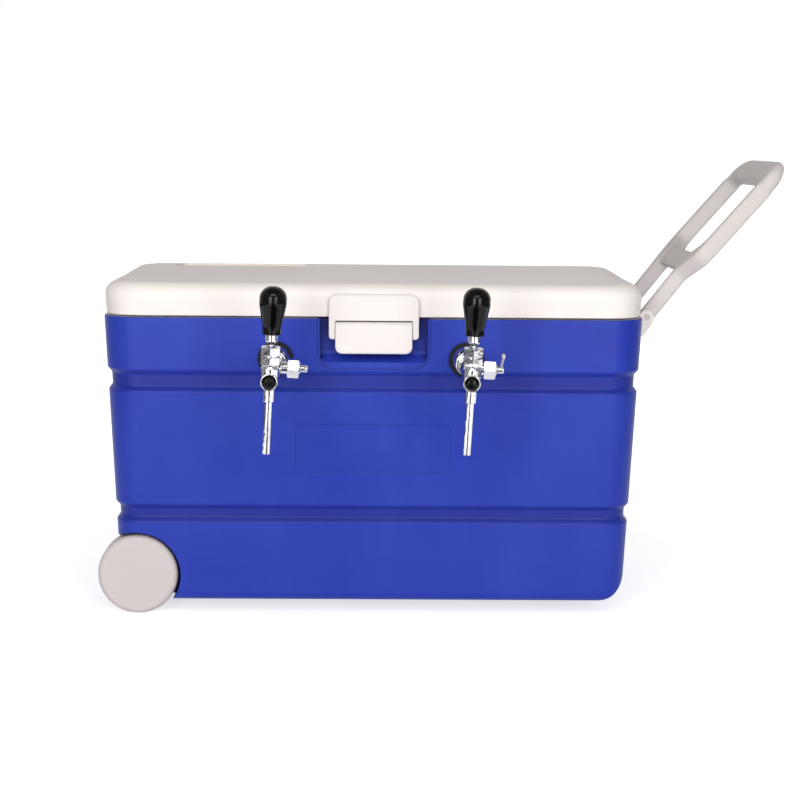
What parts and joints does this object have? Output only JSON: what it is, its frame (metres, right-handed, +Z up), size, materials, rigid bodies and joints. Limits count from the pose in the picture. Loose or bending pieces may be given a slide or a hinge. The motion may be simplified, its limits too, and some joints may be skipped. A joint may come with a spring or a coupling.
{
  "type": "jockey box cooler",
  "caption": "Blue wheeled cooler converted to a beer dispenser, with white lid, tow handle, chrome taps and cooling coils.",
  "frame": {"origin": "centre of the tub's underside", "axes": "+X towards the tow handle, +Y away from the taps, +Z up"},
  "size_m": [0.862, 0.5257, 0.5706],
  "materials": {
    "blue_plastic": "satin",
    "white_plastic": "satin",
    "liner_plastic": "satin",
    "foam": "matte",
    "handle_plastic": "satin",
    "wheel_plastic": "satin",
    "steel": "satin",
    "black_rubber": "matte",
    "chrome": "polished",
    "black_plastic": "gloss",
    "hose_plastic": "satin"
  },
  "bodies": {
    "tub": {"outer_shell": "blue_plastic", "inner_liner": "liner_plastic", "wall_foam": "foam", "axle": "steel", "axle_clips": "liner_plastic", "drain_fitting": "liner_plastic", "latch_catch": "white_plastic", "hinge_pins": "steel", "body_screws": "steel", "handle_bracket_front": "white_plastic", "handle_bracket_rear": "white_plastic", "handle_pins": "handle_plastic", "wall_washers": "black_rubber", "coupling_nuts": "chrome", "shank_lock_nuts": "steel", "inlet_washers": "black_rubber", "inlet_lock_nuts": "steel", "hose_clamps": "steel", "hinge_leaf_body_left": "white_plastic", "hinge_leaf_body_right": "white_plastic", "shank_left": "chrome", "shank_right": "chrome", "tap_body_left": "chrome", "tap_body_right": "chrome", "tap_bonnet_left": "chrome", "tap_bonnet_right": "chrome", "tap_spout_left": "chrome", "tap_spout_right": "chrome", "tap_front_cap_left": "black_plastic", "tap_front_cap_right": "black_plastic", "flow_nut_left": "chrome", "flow_nut_right": "chrome", "coil_left": "steel", "coil_right": "steel", "outlet_hose_left": "hose_plastic", "outlet_hose_right": "hose_plastic", "inlet_hose_left": "hose_plastic", "inlet_hose_right": "hose_plastic", "inlet_fitting_left": "steel", "inlet_fitting_right": "steel"},
    "lid": {"lid_shell": "white_plastic", "lid_liner": "liner_plastic", "lid_foam": "foam", "lid_seal": "black_rubber", "lid_screws": "steel", "latch_housing": "white_plastic", "latch_pin": "steel", "hinge_leaf_lid_left": "white_plastic", "hinge_leaf_lid_right": "white_plastic"},
    "latch_flap": {"latch_flap": "white_plastic"},
    "tow_handle": {"tow_handle": "handle_plastic"},
    "wheel_front": {"wheel_front": "wheel_plastic"},
    "wheel_rear": {"wheel_rear": "wheel_plastic"},
    "drain_plug": {"drain_plug": "liner_plastic"},
    "tap_lever_left": {"tap_lever_left": "chrome", "tap_knob_left": "black_plastic"},
    "flow_lever_left": {"flow_lever_left": "chrome"},
    "tap_lever_right": {"tap_lever_right": "chrome", "tap_knob_right": "black_plastic"},
    "flow_lever_right": {"flow_lever_right": "chrome"}
  },
  "joints": [
    {"name": "lid_hinge", "type": "hinge", "parent": "tub", "child": "lid", "pos_m": [0, 0.187, 0.359], "axis": [-1, 0, 0], "range_deg": [0, 100]},
    {"name": "latch_hinge", "type": "hinge", "parent": "lid", "child": "latch_flap", "pos_m": [0, -0.1805, 0.3475], "axis": [-1, 0, 0], "range_deg": [0, 95]},
    {"name": "handle_pivot", "type": "hinge", "parent": "tub", "child": "tow_handle", "pos_m": [0.3465, 0, 0.3547], "axis": [0, -1, 0], "range_deg": [-140, 28]},
    {"name": "wheel_front_spin", "type": "hinge", "parent": "tub", "child": "wheel_front", "pos_m": [-0.294, -0.146, 0.033], "axis": [0, 1, 0], "continuous": true},
    {"name": "wheel_rear_spin", "type": "hinge", "parent": "tub", "child": "wheel_rear", "pos_m": [-0.294, 0.146, 0.033], "axis": [0, 1, 0], "continuous": true},
    {"name": "drain_plug_pull", "type": "slide", "parent": "tub", "child": "drain_plug", "axis": [1, 0, 0], "range_m": [0, 0.014]},
    {"name": "tap_lever_left", "type": "hinge", "parent": "tub", "child": "tap_lever_left", "pos_m": [-0.11883, -0.30377, 0.33033], "axis": [0.9988, 0.0024, -0.0488], "range_deg": [-12, 28]},
    {"name": "flow_lever_left", "type": "hinge", "parent": "tub", "child": "flow_lever_left", "pos_m": [-0.10272, -0.23744, 0.30472], "axis": [0.9988, 0.0024, -0.0488], "range_deg": [-80, 12]},
    {"name": "tap_lever_right", "type": "hinge", "parent": "tub", "child": "tap_lever_right", "pos_m": [0.11517, -0.30377, 0.33033], "axis": [0.9988, 0.0024, -0.0488], "range_deg": [-12, 28]},
    {"name": "flow_lever_right", "type": "hinge", "parent": "tub", "child": "flow_lever_right", "pos_m": [0.13128, -0.23744, 0.30472], "axis": [0.9988, 0.0024, -0.0488], "range_deg": [-10, 82]}
  ]
}
